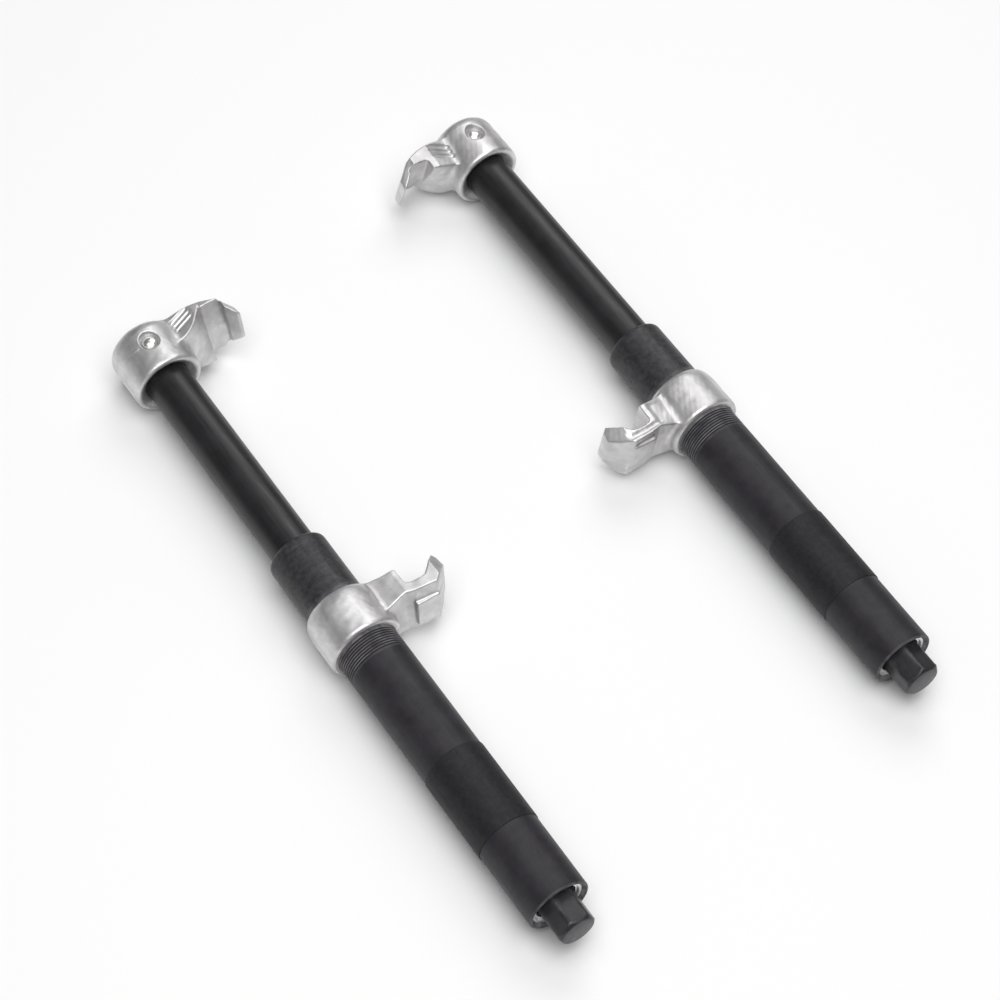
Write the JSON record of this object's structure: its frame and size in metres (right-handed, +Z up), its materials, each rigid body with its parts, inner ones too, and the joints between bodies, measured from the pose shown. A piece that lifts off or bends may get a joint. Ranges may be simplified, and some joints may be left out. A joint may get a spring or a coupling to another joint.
{
  "type": "coil spring compressor",
  "caption": "Pair of telescopic screw-driven compressors with hooked jaws that squeeze a suspension coil spring",
  "frame": {"origin": "centre of the bounding box of the two tools, on the surface that they lie on", "axes": "+X from the left tool to the right tool, +Y along both tools from the drive hexagons to the upper jaws, +Z up"},
  "size_m": [0.271, 0.4555, 0.041],
  "materials": {
    "black_steel": "charcoal satin black finish",
    "mottled_black": "mottled black oxide",
    "gloss_black": "smooth satin black",
    "black_oxide": "black oxide steel",
    "forged_steel": "satin forged steel",
    "ground_steel": "ground bright steel",
    "spring_steel": "bright spring steel",
    "bronze": "sintered bronze",
    "seal_rubber": "matt rubber",
    "wrap_sleeve": "thin matt sleeve"
  },
  "bodies": {
    "left_body": {"left_outer_tube": "black_steel", "left_guide_collar": "mottled_black", "left_guide_bush": "bronze", "left_wiper_seal": "seal_rubber", "left_lower_jaw": "forged_steel", "left_wrap_band": "wrap_sleeve", "left_rear_bush": "bronze", "left_front_race": "ground_steel", "left_rear_washer": "ground_steel", "left_rear_circlip": "spring_steel"},
    "left_screw": {"left_drive_screw": "black_oxide", "left_rear_race": "ground_steel", "left_stop_collar": "spring_steel", "left_stop_pin": "ground_steel"},
    "left_cage": {"left_bearing_balls": "ground_steel", "left_bearing_cage": "bronze"},
    "left_slider": {"left_inner_tube": "gloss_black", "left_upper_jaw": "forged_steel", "left_jaw_pin": "ground_steel", "left_drive_nut": "bronze", "left_nut_pins": "ground_steel"},
    "right_body": {"right_outer_tube": "black_steel", "right_guide_collar": "mottled_black", "right_guide_bush": "bronze", "right_wiper_seal": "seal_rubber", "right_lower_jaw": "forged_steel", "right_wrap_band": "wrap_sleeve", "right_rear_bush": "bronze", "right_front_race": "ground_steel", "right_rear_washer": "ground_steel", "right_rear_circlip": "spring_steel"},
    "right_screw": {"right_drive_screw": "black_oxide", "right_rear_race": "ground_steel", "right_stop_collar": "spring_steel", "right_stop_pin": "ground_steel"},
    "right_cage": {"right_bearing_balls": "ground_steel", "right_bearing_cage": "bronze"},
    "right_slider": {"right_inner_tube": "gloss_black", "right_upper_jaw": "forged_steel", "right_jaw_pin": "ground_steel", "right_drive_nut": "bronze", "right_nut_pins": "ground_steel"}
  },
  "joints": [
    {"name": "left_tube_slide", "type": "slide", "parent": "left_body", "child": "left_slider", "axis": [0, -1, 0], "range_m": [-0.05, 0.12]},
    {"name": "left_screw_turn", "type": "hinge", "parent": "left_body", "child": "left_screw", "pos_m": [-0.115, -0.22775, 0.0205], "axis": [0, 1, 0], "range_deg": [-9002, 21602]},
    {"name": "left_cage_turn", "type": "hinge", "parent": "left_body", "child": "left_cage", "pos_m": [-0.115, -0.19775, 0.0205], "axis": [0, 1, 0], "range_deg": [-4502, 10802]},
    {"name": "right_tube_slide", "type": "slide", "parent": "right_body", "child": "right_slider", "axis": [0, -1, 0], "range_m": [-0.036, 0.134]},
    {"name": "right_screw_turn", "type": "hinge", "parent": "right_body", "child": "right_screw", "pos_m": [0.115, -0.20275, 0.0205], "axis": [0, 1, 0], "range_deg": [-6482, 24122]},
    {"name": "right_cage_turn", "type": "hinge", "parent": "right_body", "child": "right_cage", "pos_m": [0.115, -0.17275, 0.0205], "axis": [0, 1, 0], "range_deg": [-3242, 12062]},
    {"name": "pair_gap_slide", "type": "slide", "parent": "left_body", "child": "right_body", "axis": [1, 0, 0], "range_m": [-0.04, 0.04]}
  ],
  "couplings": [
    {"joint": "left_screw_turn", "follows": "left_tube_slide", "rad_per_m": 3141.6},
    {"joint": "left_cage_turn", "follows": "left_tube_slide", "rad_per_m": 1570.8},
    {"joint": "right_screw_turn", "follows": "right_tube_slide", "rad_per_m": 3141.6},
    {"joint": "right_cage_turn", "follows": "right_tube_slide", "rad_per_m": 1570.8}
  ]
}
